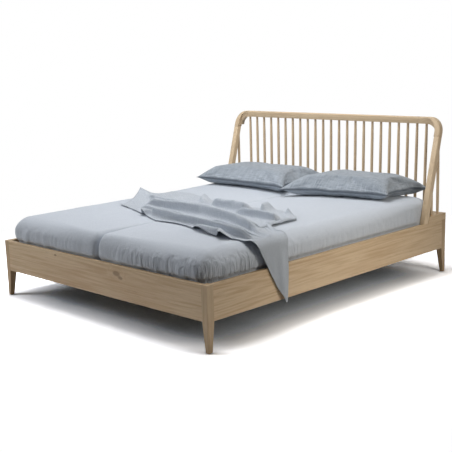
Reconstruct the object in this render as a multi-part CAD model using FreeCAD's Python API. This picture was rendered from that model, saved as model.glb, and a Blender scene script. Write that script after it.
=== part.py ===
"""Oak spindle bed for two 900 mm mattresses, with its slats, mattresses and bedding.

Millimetres. X runs across the bed, Y from foot to head, Z up from the floor.
The origin is on the floor, under the middle of the bed.
"""
import FreeCAD, Part
import math
import os

Vector = FreeCAD.Vector
UP = Vector(0, 0, 1)

# --- overall frame -------------------------------------------------------
bed_length = 2266.0
bed_width = 1884.0
bed_height = 1054.0
rail_underside = 168.0
rail_height = 197.0
rail_thickness = 26.0
edge_round = 2.0
tenon_sides = 8
turned_sides = 10
screw_sides = 6

# --- legs ----------------------------------------------------------------
leg_width = 42.0
leg_depth = 47.0
toe_width = 24.0
toe_depth = 28.0
glide_height = 3.0
glide_radius = 9.0
glide_nail_radius = 1.5
glide_nail_length = 14.0

# --- glued and knock-down joints ----------------------------------------
joint_gap = 0.15
tenon_thickness = 13.0
end_tenon_length = 25.0
side_tenon_length = 20.0
tenon_shoulder = 10.0
lower_tenon_height = 34.0
upper_tenon_height = 83.0
bracket_height = 70.0
bracket_lift = 27.0
bracket_flange = 40.0
plate_thickness = 3.0
bracket_standoff = 2.0
corner_chamfer = 10.0
bolt_radius = 4.0
bolt_grip = 25.0
bolt_tail = 14.0
nut_flats = 13.0
nut_height = 6.5
screw_radius = 2.0
screw_head_radius = 4.0
screw_head_height = 2.2
screw_gap = 0.1

# --- slats and their support --------------------------------------------
slat_top = 317.0
slat_thickness = 14.0
slat_width = 62.0
slat_count = 15
slat_foot_margin = 27.0
slat_end_gap = 2.0
tape_width = 25.0
tape_thickness = 1.2
tape_inset = 40.0
ledger_width = 24.0
ledger_height = 32.0
ledger_end_gap = 6.0
ledger_screw_length = 42.0
ledger_screw_count = 8
beam_width = 40.0
beam_height = 100.0
saddle_depth = 40.0
saddle_ear = 15.0
saddle_gap = 0.3
saddle_screw_length = 20.0
centre_leg_side = 44.0
centre_toe_side = 32.0
centre_tenon_radius = 10.0
centre_tenon_length = 30.0

# --- headboard -----------------------------------------------------------
arm_width = 41.0
arm_foot_setback = 260.0
arm_foot_depth = 49.0
arm_round = 7.0
arm_tenon_length = 35.0
arm_tenon_shoulder = 9.0
base_height = 43.0
base_depth = 75.0
tongue_width = 10.0
tongue_height = 8.0
base_tenon_length = 15.0
base_tenon_width = 20.0
top_rail_height = 45.0
top_rail_depth = 40.0
top_rail_setback = 24.0
top_rail_round = 7.0
top_tenon_length = 25.0
top_tenon_height = 20.0
corner_outer_radius = 100.0
crease_radius = 95.0
haunch_radius = 75.0
corner_drop = 124.0
corner_bevel = 4.0
crease_step = 0.6

# --- spindles ------------------------------------------------------------
spindle_count = 23
spindle_radius = 10.0
spindle_end_radius = 8.0
spindle_foot_taper = 70.0
spindle_top_taper = 160.0
spindle_foot_margin = 97.0
spindle_top_margin = 88.0
spindle_foot_setback = 56.0
spindle_tenon_radius = 6.5
spindle_tenon_length = 24.0
shoulder_gap = 0.25
corner_spindle_setback = 72.0
side_spindle_spacing = 75.0

# --- mattresses and fitted sheets ---------------------------------------
mattress_foot_clearance = 2.0
mattress_head_gap = 61.0
mattress_height = 207.0
mattress_corner = 98.0
mattress_round = 86.0
sheet_thickness = 2.5
sheet_hem = 13.0
soft_gap = 0.3
bend_facets = 4
side_puff = 15.0
foot_puff = 14.0

# --- pillows -------------------------------------------------------------
pillow_height = 152.0
pillow_clip = 14.0
side_facets = 4
# in plan: how far in from the arms' inner faces the two outer corners are, how far
# from the bed's middle line the two inner corners are, and how far in front of the
# base rail each corner is, front and back
pillow_left_outer = (35.0, 55.0)
pillow_left_inner = (-6.0, -20.0)
pillow_left_outer_gap = (418.0, -2.0)
pillow_left_inner_gap = (518.0, 12.0)
pillow_right_outer = (111.0, 61.0)
pillow_right_inner = (52.0, 38.0)
pillow_right_outer_gap = (396.0, 2.0)
pillow_right_inner_gap = (530.0, 0.0)

# --- throw ---------------------------------------------------------------
throw_thickness = 4.0
throw_fold_count = 4
fold_facets = 4
# the part that lies flat: distance in from the right rail's outer face, distance of
# its front and back edge from the foot rail's inner face, height of its folds
throw_lie = ((1672.0, 857.0, 1077.0, 24.0), (1582.0, 707.0, 1177.0, 46.0), (1182.0, 567.0, 1237.0, 30.0),
             (742.0, 482.0, 1237.0, 28.0), (252.0, 377.0, 937.0, 24.0), (58.0, 365.0, 602.0, 14.0))
# the part that hangs: distance out from the rail, distance down from the sheet's
# top, tilt in degrees, front and back edge as above, height of its folds
throw_hang = ((-20.0, 14.0, 45.0, 365.0, 602.0, 12.0), (-3.0, 60.0, 80.0, 371.0, 599.0, 12.0),
              (0.0, 147.0, 90.0, 412.0, 595.0, 12.0), (0.0, 375.0, 90.0, 551.0, 579.0, 3.0))

# --- places worked out from the sizes above ------------------------------
half_width = bed_width / 2
half_length = bed_length / 2
rail_top = rail_underside + rail_height
base_top = rail_top + base_height
side_rail_inner = half_width - rail_thickness
end_rail_inner = half_length - rail_thickness
leg_inner_x = half_width - leg_width
leg_inner_y = half_length - leg_depth
rail_middle_x = half_width - rail_thickness / 2
rail_middle_y = half_length - rail_thickness / 2
slat_seat = slat_top - slat_thickness
arm_inner = half_width - arm_width
arm_middle = half_width - arm_width / 2
arm_front_foot = half_length - arm_foot_setback
arm_back_foot = arm_front_foot + arm_foot_depth
top_rail_back = half_length - top_rail_setback
top_rail_front = top_rail_back - top_rail_depth
top_rail_middle = (top_rail_front + top_rail_back) / 2
top_rail_under = bed_height - top_rail_height
base_front = half_length - base_depth
corner_bottom = bed_height - corner_drop
crease_start = arm_inner - crease_radius
spindle_foot_pitch = 2 * (arm_inner - spindle_foot_margin) / (spindle_count - 1)
spindle_top_pitch = 2 * (arm_inner - spindle_top_margin) / (spindle_count - 1)
corner_start = arm_inner - spindle_top_margin - spindle_top_pitch / 2
rise = bed_height - rail_top
front_slope = (top_rail_front - arm_front_foot) / rise
back_slope = (top_rail_back - arm_back_foot) / rise
tenon_levels = (
    (rail_underside + tenon_shoulder, lower_tenon_height),
    (rail_top - 2 * tenon_shoulder - upper_tenon_height, upper_tenon_height),
)
bracket_bottom = rail_underside + bracket_lift
bolt_level = bracket_bottom + bracket_height / 2


def box(xs, ys, zs):
    """Block between three pairs of limits."""
    corner = Vector(min(xs), min(ys), min(zs))
    return Part.makeBox(abs(xs[1] - xs[0]), abs(ys[1] - ys[0]), abs(zs[1] - zs[0]), corner)


def grown(xs, ys, zs, gap=joint_gap):
    """The same block with clearance on every side."""
    spread = [(min(pair) - gap, max(pair) + gap) for pair in (xs, ys, zs)]
    return box(*spread)


def polygon_ring(radius, z, sides):
    corners = [2 * math.pi * (i + 0.5) / sides for i in range(sides + 1)]
    return Part.makePolygon([Vector(radius * math.cos(turn), radius * math.sin(turn), z) for turn in corners])


def placed(shape, start, direction=UP):
    """The shape moved so that its own +Z runs from start along direction."""
    shape.Placement = FreeCAD.Placement(start, FreeCAD.Rotation(UP, direction))
    return shape


def rod(radius, length, start, direction=UP, sides=tenon_sides):
    """Round bar drawn with flat facets; a hole drawn the same way fits it."""
    bar = Part.Face(polygon_ring(radius, 0, sides)).extrude(Vector(0, 0, length))
    return placed(bar, start, direction)


def turned(profile, start, direction=UP, sides=turned_sides):
    """Turned bar through (radius, height) steps."""
    rings = [polygon_ring(radius, z, sides) for radius, z in profile]
    return placed(Part.makeLoft(rings, True, True), start, direction)


def across(shape):
    """Mirror image on the other side of the bed."""
    return shape.mirror(Vector(0, 0, 0), Vector(1, 0, 0))


def end_for_end(shape):
    """Mirror image at the other end of the bed."""
    return shape.mirror(Vector(0, 0, 0), Vector(0, 1, 0))


def four_corners(shape):
    pair = [shape, across(shape)]
    return pair + [end_for_end(one) for one in pair]


def save(name, shape):
    shape.exportStep("parts/" + name + ".step")


def group(solids):
    return Part.makeCompound(solids)


def softened(shape, radius, wanted):
    """Round the straight or curved edges for which wanted(edge) is true."""
    return shape.makeFillet(radius, [edge for edge in shape.Edges if wanted(edge)])


def along(edge, axis):
    """True for a straight edge that runs along the axis 0, 1 or 2."""
    first, last = edge.Vertexes[0].Point, edge.Vertexes[-1].Point
    sweep = last - first
    return all(abs(sweep[other]) < 0.01 for other in range(3) if other != axis)


def faceted(rings):
    """Closed solid of flat triangles between matching closed outlines."""
    faces = [Part.Face(Part.makePolygon(ring + ring[:1])) for ring in (rings[0], rings[-1])]
    for lower, upper in zip(rings, rings[1:]):
        for i, start in enumerate(lower):
            after = (i + 1) % len(lower)
            for corners in ((start, lower[after], upper[after]), (start, upper[after], upper[i])):
                faces.append(Part.Face(Part.makePolygon(list(corners) + [start])))
    return Part.makeSolid(Part.makeShell(faces))


def outline_prism(points_or_edges, normal_sweep):
    """Solid swept from a closed wire of edges."""
    return Part.Face(Part.Wire(points_or_edges)).extrude(normal_sweep)


def polygon_edges(points):
    closed = list(points) + [points[0]]
    return [Part.makeLine(a, b) for a, b in zip(closed, closed[1:])]


def quarter_arc(centre, radius, start_angle, end_angle, y):
    """Edge of an arc in the XZ plane, angles in degrees from +X towards +Z."""
    def at(angle):
        turn = math.radians(angle)
        return Vector(centre[0] + radius * math.cos(turn), y, centre[1] + radius * math.sin(turn))
    return Part.Arc(at(start_angle), at((start_angle + end_angle) / 2), at(end_angle)).toShape()


# --- legs ----------------------------------------------------------------
def rail_tenons(end_rail):
    """Limits of the tenons at the +X +Y corner, of the end rail or the side rail."""
    limits = []
    for bottom, height in tenon_levels:
        zs = (bottom, bottom + height)
        if end_rail:
            xs = (leg_inner_x, leg_inner_x + end_tenon_length)
            ys = (rail_middle_y - tenon_thickness / 2, rail_middle_y + tenon_thickness / 2)
        else:
            xs = (rail_middle_x - tenon_thickness / 2, rail_middle_x + tenon_thickness / 2)
            ys = (leg_inner_y, leg_inner_y + side_tenon_length)
        limits.append((xs, ys, zs))
    return limits


def bolt_axis():
    """Start on the leg's inner chamfer, and the direction out into the room."""
    start = Vector(leg_inner_x + corner_chamfer / 2, leg_inner_y + corner_chamfer / 2, bolt_level)
    return start, Vector(-1, -1, 0).normalize()


def toe_centre():
    return Vector(half_width - toe_width / 2, half_length - toe_depth / 2, 0)


def leg():
    """Corner post at +X +Y: plumb outside, its two inner faces taper below the rails."""
    post = box((leg_inner_x, half_width), (leg_inner_y, half_length), (glide_height, rail_top))
    post = softened(post, edge_round, lambda e: along(e, 2)
                    and e.BoundBox.XMin > half_width - 0.01 and e.BoundBox.YMin > half_length - 0.01)
    side_wedge = outline_prism(polygon_edges([
        Vector(leg_inner_x, leg_inner_y, rail_underside),
        Vector(half_width - toe_width, leg_inner_y, glide_height),
        Vector(leg_inner_x, leg_inner_y, glide_height)]), Vector(0, leg_depth, 0))
    end_wedge = outline_prism(polygon_edges([
        Vector(leg_inner_x, leg_inner_y, rail_underside),
        Vector(leg_inner_x, half_length - toe_depth, glide_height),
        Vector(leg_inner_x, leg_inner_y, glide_height)]), Vector(leg_width, 0, 0))
    chamfer = outline_prism(polygon_edges([
        Vector(leg_inner_x, leg_inner_y, bracket_bottom),
        Vector(leg_inner_x + corner_chamfer, leg_inner_y, bracket_bottom),
        Vector(leg_inner_x, leg_inner_y + corner_chamfer, bracket_bottom)]),
        Vector(0, 0, bracket_height))
    start, outward = bolt_axis()
    cuts = [side_wedge, end_wedge, chamfer, rod(bolt_radius + joint_gap, bolt_grip + joint_gap, start, outward * -1)]
    cuts += [grown(*limits) for limits in rail_tenons(True) + rail_tenons(False)]
    cuts.append(rod(glide_nail_radius + screw_gap, glide_nail_length + joint_gap,
                    toe_centre() + UP * glide_height))
    return post.cut(cuts)


def glide(centre):
    """Nail-on plastic foot under a leg."""
    disc = rod(glide_radius, glide_height, centre, sides=turned_sides)
    return disc.fuse(rod(glide_nail_radius, glide_nail_length, centre + UP * glide_height))


# --- rails ---------------------------------------------------------------
def end_rail():
    """Board across the head, with two tenons at each end."""
    board = box((-leg_inner_x, leg_inner_x), (end_rail_inner, half_length), (rail_underside, rail_top))
    board = softened(board, edge_round, lambda e: along(e, 0))
    tenons = [box(*limits) for limits in rail_tenons(True)]
    return board.fuse(tenons + [across(tenon) for tenon in tenons])


def side_rail():
    """Board along the right side, with two tenons at each end."""
    board = box((side_rail_inner, half_width), (-leg_inner_y, leg_inner_y), (rail_underside, rail_top))
    board = softened(board, edge_round, lambda e: along(e, 1))
    tenons = [box(*limits) for limits in rail_tenons(False)]
    return board.fuse(tenons + [end_for_end(tenon) for tenon in tenons])


# --- corner brackets and bolts -------------------------------------------
def corner_bracket():
    """Bent steel plate across the inside of the +X +Y corner."""
    diagonal = leg_inner_x + leg_inner_y + corner_chamfer - bracket_standoff * math.sqrt(2)
    inner = diagonal - plate_thickness * math.sqrt(2)
    side_face = side_rail_inner
    end_face = end_rail_inner
    flange_y = diagonal - side_face - bracket_flange
    flange_x = diagonal - end_face - bracket_flange
    corners = [(side_face, flange_y), (side_face, diagonal - side_face),
               (diagonal - end_face, end_face), (flange_x, end_face),
               (flange_x, end_face - plate_thickness),
               (inner - end_face + plate_thickness, end_face - plate_thickness),
               (side_face - plate_thickness, inner - side_face + plate_thickness),
               (side_face - plate_thickness, flange_y)]
    plan = [Vector(x, y, bracket_bottom) for x, y in corners]
    plate = outline_prism(polygon_edges(plan), Vector(0, 0, bracket_height))
    start, outward = bolt_axis()
    holes = [rod(bolt_radius + 0.5, 30, start, outward)]
    holes += [rod(screw_radius + screw_gap, 3 * plate_thickness, place, way, screw_sides)
              for place, way in bracket_screws(-plate_thickness)]
    return plate.cut(holes)


def bracket_screws(lift=0.0):
    """Seats and directions of the two flange screws, seen from inside the bed."""
    diagonal = leg_inner_x + leg_inner_y + corner_chamfer - bracket_standoff * math.sqrt(2)
    seat_x = side_rail_inner - plate_thickness + lift
    seat_y = end_rail_inner - plate_thickness + lift
    y = diagonal - side_rail_inner - bracket_flange / 2
    x = diagonal - end_rail_inner - bracket_flange / 2
    return [(Vector(seat_x, y, bolt_level), Vector(1, 0, 0)),
            (Vector(x, seat_y, bolt_level), Vector(0, 1, 0))]


def leg_bolt():
    """Threaded rod screwed into the leg, with its nut against the bracket."""
    start, outward = bolt_axis()
    plate_face = bracket_standoff + plate_thickness
    shank = rod(bolt_radius, bolt_grip + plate_face + bolt_tail, start - outward * bolt_grip, outward)
    nut = rod(nut_flats / math.sqrt(3), nut_height, start + outward * plate_face, outward, 6)
    return shank.fuse(nut)


def screw(place, direction, length):
    """Round-headed wood screw: its head sits on the face at place."""
    shank = rod(screw_radius, length, place, direction, screw_sides)
    head = turned([(screw_head_radius, 0), (screw_radius, screw_head_height)], place, direction * -1, screw_sides)
    return shank.fuse(head)


def screw_hole(place, direction, length):
    return rod(screw_radius + screw_gap, length + 1 + screw_gap, place - direction, direction, screw_sides)


# --- slats ---------------------------------------------------------------
def ledger():
    """Strip screwed inside the right rail, which carries the slat ends."""
    reach = leg_inner_y - ledger_end_gap
    return box((side_rail_inner - ledger_width, side_rail_inner), (-reach, reach),
               (slat_seat - ledger_height, slat_seat))


def ledger_screws():
    reach = leg_inner_y - 60
    step = 2 * reach / (ledger_screw_count - 1)
    return [(Vector(side_rail_inner - ledger_width, -reach + step * i, slat_seat - ledger_height / 2),
             Vector(1, 0, 0)) for i in range(ledger_screw_count)]


beam_bottom = slat_seat - beam_height
beam_reach = end_rail_inner - plate_thickness - saddle_gap


def saddle():
    """Steel stirrup on the head rail that holds the end of the centre beam."""
    inner = beam_width / 2 + saddle_gap
    outer = inner + plate_thickness
    front = end_rail_inner - plate_thickness - saddle_depth
    back = (end_rail_inner - plate_thickness, end_rail_inner)
    floor = (beam_bottom - plate_thickness, beam_bottom)
    height = (beam_bottom - plate_thickness, slat_seat - 15)
    ears = outer + saddle_ear
    shape = box((-ears, ears), back, height)
    shape = shape.fuse([box((-outer, outer), (front, back[0]), floor),
                        box((inner, outer), (front, back[0]), height),
                        box((-outer, -inner), (front, back[0]), height)]).removeSplitter()
    return shape.cut([screw_hole(place - way * 2, way, plate_thickness + 4)
                      for place, way in saddle_screws()])


def saddle_screws():
    x = beam_width / 2 + saddle_gap + plate_thickness + saddle_ear / 2
    seat = end_rail_inner - plate_thickness
    return [(Vector(side * x, seat, level), Vector(0, 1, 0))
            for side in (-1, 1) for level in (beam_bottom + 12, slat_seat - 30)]


def centre_leg():
    """Tapered square post under the middle of the beam, with a round tenon."""
    def ring(side, z):
        half = side / 2
        return Part.makePolygon([Vector(x, y, z) for x, y in
                                 ((half, half), (-half, half), (-half, -half), (half, -half), (half, half))])
    post = Part.makeLoft([ring(centre_toe_side, glide_height), ring(centre_leg_side, beam_bottom)], True, True)
    post = post.fuse(rod(centre_tenon_radius, centre_tenon_length, Vector(0, 0, beam_bottom)))
    nail = rod(glide_nail_radius + screw_gap, glide_nail_length + joint_gap, Vector(0, 0, glide_height))
    return post.cut(nail)


def slat_rows():
    """Middle of each slat along the bed."""
    first = -end_rail_inner + slat_foot_margin + slat_width / 2
    last = base_front - mattress_head_gap - slat_width / 2
    return [first + (last - first) * i / (slat_count - 1) for i in range(slat_count)]


def slats():
    outer = side_rail_inner - slat_end_gap
    pieces = []
    for y in slat_rows():
        slat = box((slat_end_gap, outer), (y - slat_width / 2, y + slat_width / 2), (slat_seat, slat_top))
        pieces += [slat, across(slat)]
    return group(pieces)


def slat_tapes():
    """Webbing under the slats, which keeps them spaced."""
    rows = slat_rows()
    ys = (rows[0] - slat_width / 2, rows[-1] + slat_width / 2)
    zs = (slat_seat - tape_thickness, slat_seat)
    starts = (beam_width / 2 + tape_inset, side_rail_inner - ledger_width - tape_inset - tape_width)
    tapes = [box((x, x + tape_width), ys, zs) for x in starts]
    return group(tapes + [across(tape) for tape in tapes])


# --- headboard -----------------------------------------------------------
def arm_front_at(z):
    return arm_front_foot + front_slope * (z - rail_top)


def arm_back_at(z):
    return arm_back_foot + back_slope * (z - rail_top)


def leaning_slab(bottom, top, xs):
    """The space between the arms' sloping front and back faces."""
    profile = [Vector(min(xs), arm_front_at(bottom), bottom), Vector(min(xs), arm_front_at(top), top),
               Vector(min(xs), arm_back_at(top), top), Vector(min(xs), arm_back_at(bottom), bottom)]
    return outline_prism(polygon_edges(profile), Vector(max(xs) - min(xs), 0, 0))


def arm_direction():
    middle_slope = (front_slope + back_slope) / 2
    return Vector(0, middle_slope, 1).normalize()


def arm_top_tenon(gap=0.0):
    """Tenon from the arm up into the corner piece, in line with the arm."""
    middle = (arm_front_at(corner_bottom) + arm_back_at(corner_bottom)) / 2
    wide = tenon_thickness + 2 * gap
    deep = arm_foot_depth / 2 - 4 + 2 * gap
    tenon = Part.makeBox(wide, deep, 2 * (arm_tenon_length + gap),
                         Vector(-wide / 2, -deep / 2, -arm_tenon_length - gap))
    placed(tenon, Vector(arm_middle, middle, corner_bottom), arm_direction())
    above = box((arm_inner, half_width), (middle - 100, middle + 100), (corner_bottom, bed_height))
    return tenon.common(above)


def arm_foot_tenon():
    """Limits of the tenon from the arm down into the side rail."""
    xs = (rail_middle_x - tenon_thickness / 2, rail_middle_x + tenon_thickness / 2)
    ys = (arm_front_foot + arm_tenon_shoulder, arm_back_foot - arm_tenon_shoulder)
    return xs, ys, (rail_top - arm_tenon_length, rail_top)


def arm():
    """Straight raking arm of the headboard, on the right side rail."""
    bar = leaning_slab(rail_top, corner_bottom, (arm_inner, half_width))
    bar = softened(bar, arm_round, lambda e: abs(e.tangentAt(e.FirstParameter).z) > 0.5)
    bar = bar.fuse([arm_top_tenon(), box(*arm_foot_tenon())])
    holes = [rod(spindle_tenon_radius + joint_gap, bed_height, Vector(arm_middle, y, rail_top + 1))
             for y in side_spindle_places()]
    reach = behind_arm(spindle_tenon_length + joint_gap)
    return bar.cut([hole.common(reach) for hole in holes])


def behind_arm(lift):
    """The space behind and below the arm's sloping back face, raised by lift."""
    low, high = rail_top - bed_height, bed_height
    raised = Vector(0, 0, lift)
    profile = [Vector(arm_inner, arm_back_at(low), low) + raised,
               Vector(arm_inner, arm_back_at(high), high) + raised,
               Vector(arm_inner, 2 * bed_length, high),
               Vector(arm_inner, 2 * bed_length, low)]
    return outline_prism(polygon_edges(profile), Vector(arm_width, 0, 0))


def inside_of_crease():
    """Everything on the bed's side of the line where arm and top rail meet."""
    y = arm_front_foot - 50
    centre = (crease_start, bed_height - crease_radius + crease_step)
    low = corner_bottom - 50
    far = corner_start - 100
    arc = quarter_arc(centre, crease_radius, 0, 90, y)
    arm_side = Vector(arm_inner, y, centre[1])
    rail_side = Vector(crease_start, y, centre[1] + crease_radius)
    edges = [arc,
             Part.makeLine(rail_side, Vector(far, y, rail_side.z)),
             Part.makeLine(Vector(far, y, rail_side.z), Vector(far, y, low)),
             Part.makeLine(Vector(far, y, low), Vector(arm_inner, y, low)),
             Part.makeLine(Vector(arm_inner, y, low), arm_side)]
    return outline_prism(edges, Vector(0, 2 * arm_foot_setback, 0))


def corner_piece():
    """Bent piece between arm and top rail.

    Its outer band keeps the arm's lean and dies into the plumb top rail
    along a curved crease; the haunch below the crease is plumb.
    """
    band = leaning_slab(corner_bottom, bed_height, (corner_start - 20, half_width))
    centre = (half_width - corner_outer_radius, bed_height - corner_outer_radius)
    y = arm_front_foot - 50
    top_point = Vector(centre[0], y, bed_height)
    side_point = Vector(half_width, y, centre[1])
    shoulder = outline_prism([
        quarter_arc(centre, corner_outer_radius, 0, 90, y),
        Part.makeLine(top_point, Vector(half_width, y, bed_height)),
        Part.makeLine(Vector(half_width, y, bed_height), side_point)], Vector(0, 2 * arm_foot_setback, 0))
    band = band.cut(shoulder)

    def outer_edge(edge):
        box_of = edge.BoundBox
        flat_end = box_of.XMax < corner_start - 19 or box_of.ZMax < corner_bottom + 0.1
        inner = box_of.XMax < corner_start + 1 and box_of.ZMax < bed_height - 1
        across_thickness = box_of.YLength > top_rail_depth - 1 and box_of.XLength < 0.1
        crosswise = across_thickness and box_of.ZLength < 0.1
        return not (flat_end or inner or crosswise)

    band = band.makeChamfer(corner_bevel, [edge for edge in band.Edges if outer_edge(edge)])
    inside = inside_of_crease()
    band = band.cut(inside)

    haunch_centre = Vector(arm_inner - haunch_radius + crease_step, y, top_rail_under - haunch_radius)
    block = box((corner_start, arm_inner + 5), (top_rail_front, top_rail_back), (haunch_centre.z, bed_height))
    below = box((corner_start - 1, haunch_centre.x), (y, half_length), (haunch_centre.z - 1, top_rail_under))
    hollow = Part.makeCylinder(haunch_radius, 2 * arm_foot_setback, haunch_centre, Vector(0, 1, 0))
    block = block.cut([hollow, below])
    block = block.makeChamfer(corner_bevel, [edge for edge in block.Edges
                                             if along(edge, 0) and edge.BoundBox.ZMin > bed_height - 0.1])
    haunch = block.common(inside)
    piece = band.fuse(haunch).removeSplitter()
    last_spindle = spindle_tenon(spindle_count - 1, joint_gap)
    return piece.cut([arm_top_tenon(joint_gap), grown(*top_rail_tenon()), last_spindle])


def top_rail_tenon():
    """Limits of the tenon from the top rail into the right corner piece."""
    middle = (bed_height + top_rail_under) / 2
    return ((corner_start, corner_start + top_tenon_length),
            (top_rail_middle - tenon_thickness / 2, top_rail_middle + tenon_thickness / 2),
            (middle - top_tenon_height / 2, middle + top_tenon_height / 2))


def top_rail():
    bar = box((-corner_start, corner_start), (top_rail_front, top_rail_back), (top_rail_under, bed_height))
    bar = softened(bar, top_rail_round, lambda e: along(e, 0) and e.BoundBox.ZMin > bed_height - 0.1)
    tenon = box(*top_rail_tenon())
    bar = bar.fuse([tenon, across(tenon)])
    return bar.cut([spindle_tenon(i, joint_gap) for i in range(1, spindle_count - 1)])


def side_tongue():
    """Limits of the tongue under the right base rail."""
    return ((rail_middle_x - tongue_width / 2, rail_middle_x + tongue_width / 2),
            (arm_back_foot + 10, half_length - 20), (rail_top - tongue_height, rail_top))


def back_tongue():
    """Limits of the tongue under the back base rail."""
    return ((-leg_inner_x + 5, leg_inner_x - 5),
            (rail_middle_y - tongue_width / 2, rail_middle_y + tongue_width / 2),
            (rail_top - tongue_height, rail_top))


def base_tenon():
    """Limits of the tenon from the back base rail into the right one."""
    middle_y = half_length - base_tenon_width / 2 - 20
    middle_z = rail_top + base_height / 2
    return ((arm_inner, arm_inner + base_tenon_length),
            (middle_y - base_tenon_width / 2, middle_y + base_tenon_width / 2),
            (middle_z - base_height / 5, middle_z + base_height / 5))


def side_base():
    """Base rail on top of the right side rail, from the arm to the back."""
    bar = box((arm_inner, half_width), (arm_back_foot, half_length), (rail_top, base_top))
    bar = softened(bar, edge_round, lambda e: along(e, 1) and e.BoundBox.ZMin > base_top - 0.1)
    bar = bar.cut(leaning_slab(rail_top - 1, base_top + 1, (arm_inner - 1, half_width + 1)))
    bar = bar.fuse(box(*side_tongue()))
    holes = [rod(spindle_tenon_radius + joint_gap, spindle_tenon_length + joint_gap + 1,
                 Vector(arm_middle, y, base_top - spindle_tenon_length - joint_gap))
             for y in side_spindle_places()]
    return bar.cut(holes + [grown(*base_tenon())])


def back_base():
    """Base rail across the back, which the spindles stand in."""
    bar = box((-arm_inner, arm_inner), (base_front, half_length), (rail_top, base_top))
    bar = softened(bar, edge_round, lambda e: along(e, 0) and e.BoundBox.ZMin > base_top - 0.1)
    tenon = box(*base_tenon())
    bar = bar.fuse([box(*back_tongue()), tenon, across(tenon)])
    return bar.cut([spindle_tenon(i, joint_gap) for i in range(spindle_count)])


# --- spindles ------------------------------------------------------------
def spindle_axis(index):
    """Foot and top of a back spindle's axis, where it meets base and top rail."""
    step = index - (spindle_count - 1) / 2
    foot = Vector(step * spindle_foot_pitch, half_length - spindle_foot_setback, base_top)
    top = Vector(step * spindle_top_pitch, top_rail_middle, top_rail_under)
    return foot, top


def spindle_tenon(index, gap=0.0):
    """The round tenon bar through a back spindle, grown by gap for its holes."""
    foot, top = spindle_axis(index)
    way = (top - foot).normalize()
    reach = spindle_tenon_length + gap
    return rod(spindle_tenon_radius + gap, foot.distanceToPoint(top) + 2 * reach, foot - way * reach, way)


def back_spindle(index):
    """Slender turned spindle, swollen in the middle, with a round tenon at each end."""
    foot, top = spindle_axis(index)
    way = (top - foot).normalize()
    length = foot.distanceToPoint(top)
    profile = [(spindle_end_radius, shoulder_gap), (spindle_radius, spindle_foot_taper),
               (spindle_radius, length - spindle_top_taper), (spindle_end_radius, length - shoulder_gap)]
    return turned(profile, foot, way).fuse(spindle_tenon(index))


def side_spindle_places():
    """The side spindle and the corner spindle, by their distance from the foot."""
    corner_y = half_length - corner_spindle_setback
    return corner_y - side_spindle_spacing, corner_y


def arm_underside(y):
    """Height at which the arm's back face passes over the place y."""
    return rail_top + (y - arm_back_foot) / back_slope


def side_spindle(y):
    """Plumb spindle from the side base rail up to the arm's sloping back."""
    foot = Vector(arm_middle, y, base_top)
    meet = arm_underside(y)
    length = meet - base_top
    reach = spindle_radius / back_slope
    top_taper = min(spindle_top_taper, length / 2)
    profile = [(spindle_end_radius, 0), (spindle_radius, min(spindle_foot_taper, length / 3)),
               (spindle_radius, length - top_taper), (spindle_end_radius, length + reach)]
    body = turned(profile, foot)
    tenon = rod(spindle_tenon_radius, length + 3 * spindle_tenon_length + reach,
                foot - UP * spindle_tenon_length)
    return body.common(behind_arm(0)).fuse(tenon.common(behind_arm(spindle_tenon_length)))


# --- mattresses and sheets -----------------------------------------------
sheet_top = slat_top + soft_gap + mattress_height + soft_gap + sheet_thickness
mattress_foot = -end_rail_inner + mattress_foot_clearance
mattress_head = base_front - mattress_head_gap


def mattress_ring(z, inset, puff, skin):
    """Outline of the right mattress at one height, grown by skin."""
    inner = soft_gap + sheet_thickness + soft_gap - skin + inset
    outer = arm_inner - soft_gap - sheet_thickness - soft_gap + skin - inset
    foot = mattress_foot + sheet_thickness + soft_gap - skin + inset - puff * foot_puff / side_puff
    head = mattress_head - sheet_thickness - soft_gap + skin - inset
    pinch = arm_front_foot - 12
    bend = mattress_corner - inset / 2
    inner_bend = bend / 2
    side = outer + puff

    def corner(centre_x, centre_y, radius, start):
        turns = [math.radians(start + 90 * i / bend_facets) for i in range(bend_facets + 1)]
        return [Vector(centre_x + radius * math.cos(t), centre_y + radius * math.sin(t), z) for t in turns]

    points = corner(side - bend, foot + bend, bend, -90)
    points += [Vector(side, pinch - 60, z), Vector(outer, pinch, z)]
    points += corner(outer - bend, head - bend, bend, 0)
    points += corner(inner + inner_bend, head - inner_bend, inner_bend, 90)
    points += corner(inner + inner_bend, foot + inner_bend, inner_bend, 180)
    return points


def mattress_rings(skin, bare=True):
    """Outlines of the mattress from the slats up, grown by skin.

    Sides bulge over the rail and roll into the top through an even round.
    Without bare, the lowest outline under the sheet's hem is left out.
    """
    bottom = slat_top + soft_gap
    top = bottom + mattress_height + skin
    above_rail = rail_top + soft_gap
    levels = [(bottom + sheet_hem, 0, 0), (above_rail, 0, 0), (above_rail + sheet_hem, 0, 0.8)]
    for angle, puff in ((0, 1), (30, 0.85), (55, 0.4), (90, 0)):
        turn = math.radians(angle)
        levels.append((top - mattress_round * (1 - math.sin(turn)), mattress_round * (1 - math.cos(turn)), puff))
    if bare:
        levels.insert(0, (bottom, sheet_hem / 2, 0))
    return [mattress_ring(z, inset, puff * side_puff, skin) for z, inset, puff in levels]


def padded_block():
    return faceted(mattress_rings(0))


def fitted_sheet():
    """Skin over the right mattress, open underneath: up the inside, down the outside."""
    inside = mattress_rings(soft_gap, bare=False)
    outside = mattress_rings(sheet_thickness + soft_gap, bare=False)
    return faceted([ring[::-1] for ring in inside[::-1] + outside])


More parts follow.
